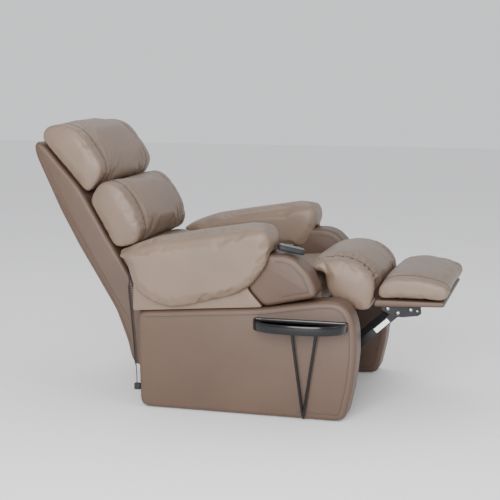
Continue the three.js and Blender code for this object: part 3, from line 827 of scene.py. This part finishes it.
def bevel(piece, width, angle=35):
    modifier = piece.modifiers.new("bevel", "BEVEL")
    modifier.width = width
    modifier.segments = 2
    modifier.limit_method = "ANGLE"
    modifier.angle_limit = math.radians(angle)
    split = piece.modifiers.new("split", "EDGE_SPLIT")
    split.split_angle = math.radians(50)
    piece.data.polygons.foreach_set("use_smooth", [True] * len(piece.data.polygons))


def dress_hard_nodes():
    """Every CAD node that stays gets its slot's material and softened edges."""
    slots = {s["node"]: s["material_slot"] for s in frame["record"]["subparts"]}
    for name, node in NODES.items():
        node.data.materials.clear()
        node.data.materials.append(MATERIALS[slots[name]])
        if not node.hide_render:
            bevel(node, 0.0005 if "key" in name else 0.001)


def tray_plan(inset, count=96):
    """The tray's D-shaped plan inside its box, inset by that much."""
    low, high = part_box("tray_top")
    middle = (low[0] + high[0]) / 2
    half = (high[0] - low[0]) / 2 - inset
    back = high[1] - inset
    depth = high[1] - low[1] - 2 * inset
    bowed = []
    for i in range(count):
        angle = math.pi * (1 + i / (count - 1))
        across = math.copysign(abs(math.cos(angle)) ** 0.8, math.cos(angle))
        bowed.append((middle + half * across, back - depth * abs(math.sin(angle)) ** 0.72))
    straight = [(middle + half * (1 - 2 * k / 16), back) for k in range(1, 16)]
    return bowed + straight


def make_tray():
    """The tray top: a skirt, a rolled rim, a ledge and a recessed floor."""
    low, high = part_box("tray_top")
    rim, hem = high[2], low[2]
    levels = [
        (0.0022, hem + 0.022),
        (0.0022, hem + 0.001),
        (0.0008, hem),
        (0.0, hem + 0.0015),
        (0.0, rim - 0.003),
        (0.0008, rim - 0.0008),
        (0.0025, rim),
        (0.0045, rim - 0.0008),
        (0.0053, rim - 0.003),
        (0.0065, rim - 0.0085),
        (0.0085, rim - 0.0098),
        (0.020, rim - 0.0100),
        (0.0215, rim - 0.0088),
        (0.0235, rim - 0.0088),
        (0.025, rim - 0.0100),
        (0.045, rim - 0.0100),
    ]
    rings = [np.array([(x, y, z) for x, y in tray_plan(inset)]) for inset, z in levels]
    tray = lofted("tray", rings, "gloss_black")
    finish_piece(tray, "tray", "tray_top")
    split = tray.modifiers.new("split", "EDGE_SPLIT")
    split.split_angle = math.radians(60)


def make_tray_rods():
    """Two black rods in a V, bent in at the foot to the side panel."""
    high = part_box("tray_rods")[1]
    radius = 0.005
    foot = Vector((0.243, -0.412, 0.010))
    for i, x in enumerate((0.202, 0.290)):
        top = Vector((x, -0.42, high[2] - 0.0005))
        bend = foot.lerp(top, 0.03)
        points = [top, bend, Vector((foot.x, -0.404, 0.009))]
        rod = curve_piece(f"tray_rod_{i + 1}", points, radius, "gloss_black")
        rod.data.bevel_resolution = 5
        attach(rod, "tray")
        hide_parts("tray_rods")


def handset_frame():
    """The handset's own axes, from its CAD pieces: along its length, across it, and out of its face."""
    low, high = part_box("handset_case")
    turn = Matrix.Rotation(0.24, 4, "Y") @ Matrix.Rotation(0.3, 4, "Z")
    return Matrix.Translation((Vector(low) + Vector(high)) / 2) @ turn


def handset_ring(place, inset, height, end_square, side_square):
    """The handset's rounded outline, narrower towards its front, at one height from its middle."""
    half, wide = 0.049, 0.0245
    ring = []
    for i in range(48):
        angle = 2 * math.pi * i / 48
        c, s = math.cos(angle), math.sin(angle)
        x = (half - inset) * math.copysign(abs(c) ** end_square, c)
        y = (wide - inset) * math.copysign(abs(s) ** side_square, s) * (1 - 0.12 * (x / half))
        ring.append(tuple(place @ Vector((x, y, height))))
    return np.array(ring)


def make_handset():
    """A rounded case with a greenish panel behind the keys."""
    place = handset_frame()
    thick = 0.0095
    case_levels = (
        (0.006, -thick),
        (0.002, -thick + 0.001),
        (0, -0.003),
        (0, 0.004),
        (0.0015, thick - 0.001),
        (0.005, thick),
        (0.012, thick + 0.0002),
    )
    case_rings = [handset_ring(place, inset, z, 0.45, 0.6) for inset, z in case_levels]
    case = lofted("handset_body", case_rings, "matte_black")
    finish_piece(case, "handset", "handset_case")
    face_levels = ((0.006, thick - 0.0004), (0.0062, thick + 0.0007), (0.008, thick + 0.0009))
    face_rings = [handset_ring(place, inset, z, 0.4, 0.55) for inset, z in face_levels]
    face = lofted("handset_face", face_rings, "face_green")
    finish_piece(face, "handset")


BOLT_PLACES = ((0.54, 0.365), (0.505, 0.379), (0.585, 0.379))


def make_fasteners():
    """Domed bolt heads on washers, on the outside of each footrest bracket."""
    for word, side in SIDES.items():
        low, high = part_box(f"footrest_bracket_{word}")
        y = high[1] if side > 0 else low[1]
        for x, z in BOLT_PLACES:
            head = bolt_head(f"bolt_{word}_{int(x * 1000)}", (x, y, z), side, 0.0048, 0.0028)
            finish_piece(head, "footrest")


def bolt_head(name, place, side, radius, height):
    """A round bolt head on a washer, its axis along Y."""
    rings = []
    steps = (
        (radius * 1.5, 0),
        (radius * 1.5, 0.001),
        (radius, 0.0012),
        (radius * 0.95, height * 0.6),
        (radius * 0.7, height * 0.9),
        (radius * 0.3, height),
    )
    for r, h in steps:
        ring = []
        for i in range(20):
            angle = 2 * math.pi * i / 20
            ring.append((place[0] + r * math.cos(angle), place[1] + side * h, place[2] + r * math.sin(angle)))
        rings.append(np.array(ring))
    return lofted(name, rings, "grey_steel")


def make_label():
    """A blank label along the near extension link."""
    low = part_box("extension_link_right")[0]
    start, end = Vector((0.461, 0, 0.2935)), Vector((0.507, 0, 0.335))
    along = (end - start).normalized()
    up = Vector((-along.z, 0, along.x)) * 0.0085
    y = low[1] - 0.0004
    corners = [start + up, start - up, end - up, end + up]
    rings = [np.array([(c.x, at, c.z) for c in corners]) for at in (y + 0.0004, y)]
    label = lofted("label", rings, "label")
    label.data.polygons.foreach_set("use_smooth", [False] * len(label.data.polygons))
    finish_piece(label, "extension_links")

# ---------------------------------------------------------------- build


def make_upholstery():
    make_back_cushion("head_cushion", crown=0.008, cap=0.009, pressure=4.0)
    make_back_cushion("shoulder_cushion", crown=0.008, cap=0.009, pressure=4.0)
    make_back_cushion("lumbar_cushion", crown=0.006, cap=0.007, pressure=3.0)
    make_seat()
    make_leg_pillow()
    make_footrest_pad()
    for word, side in SIDES.items():
        make_arm_pad(word)
        make_side_panel(word, side)
        make_arm(word, side)
    make_back_shell()
    make_footrest_board()


def make_stage():
    """A pale floor that meets a pale world, and large soft lights."""
    mesh = bpy.data.meshes.new("floor")
    reach = 14
    corners = [(-reach, -reach, 0), (reach, -reach, 0), (reach, reach, 0), (-reach, reach, 0)]
    mesh.from_pydata(corners, [], [(0, 1, 2, 3)])
    floor = bpy.data.objects.new("floor", mesh)
    bpy.context.scene.collection.objects.link(floor)
    n = Nodes("floor")
    pale = n.ramp(n.noise(1.5, 2), [(0, (0.86, 0.86, 0.86)), (1, (0.9, 0.9, 0.9))])
    n.link(pale, n.shader.inputs["Base Color"])
    n.set(Roughness=0.7)
    mesh.materials.append(n.material)
    world = bpy.data.worlds.new("world")
    bpy.context.scene.world = world
    world.use_nodes = True
    world.node_tree.nodes["Background"].inputs["Color"].default_value = (0.96, 0.97, 1, 1)
    world.node_tree.nodes["Background"].inputs["Strength"].default_value = 0.95
    area_light("key", (0.3, -4.2, 1.7), (0.0, 0, 0.5), 2.4, 265)
    area_light("fill", (3.4, -1.6, 1.8), (0.3, 0, 0.5), 2.0, 40)
    area_light("top", (-0.8, 1.6, 3.4), (-0.1, 0, 0.4), 2.4, 25)


def area_light(name, place, target, size, power):
    light = bpy.data.lights.new(name, "AREA")
    light.size = size
    light.energy = power
    lamp = bpy.data.objects.new(name, light)
    lamp.location = place
    lamp.rotation_euler = (Vector(target) - Vector(place)).to_track_quat("-Z", "Y").to_euler()
    bpy.context.scene.collection.objects.link(lamp)


make_stage()
make_upholstery()
make_tray()
make_tray_rods()
make_handset()
make_fasteners()
make_label()
dress_hard_nodes()
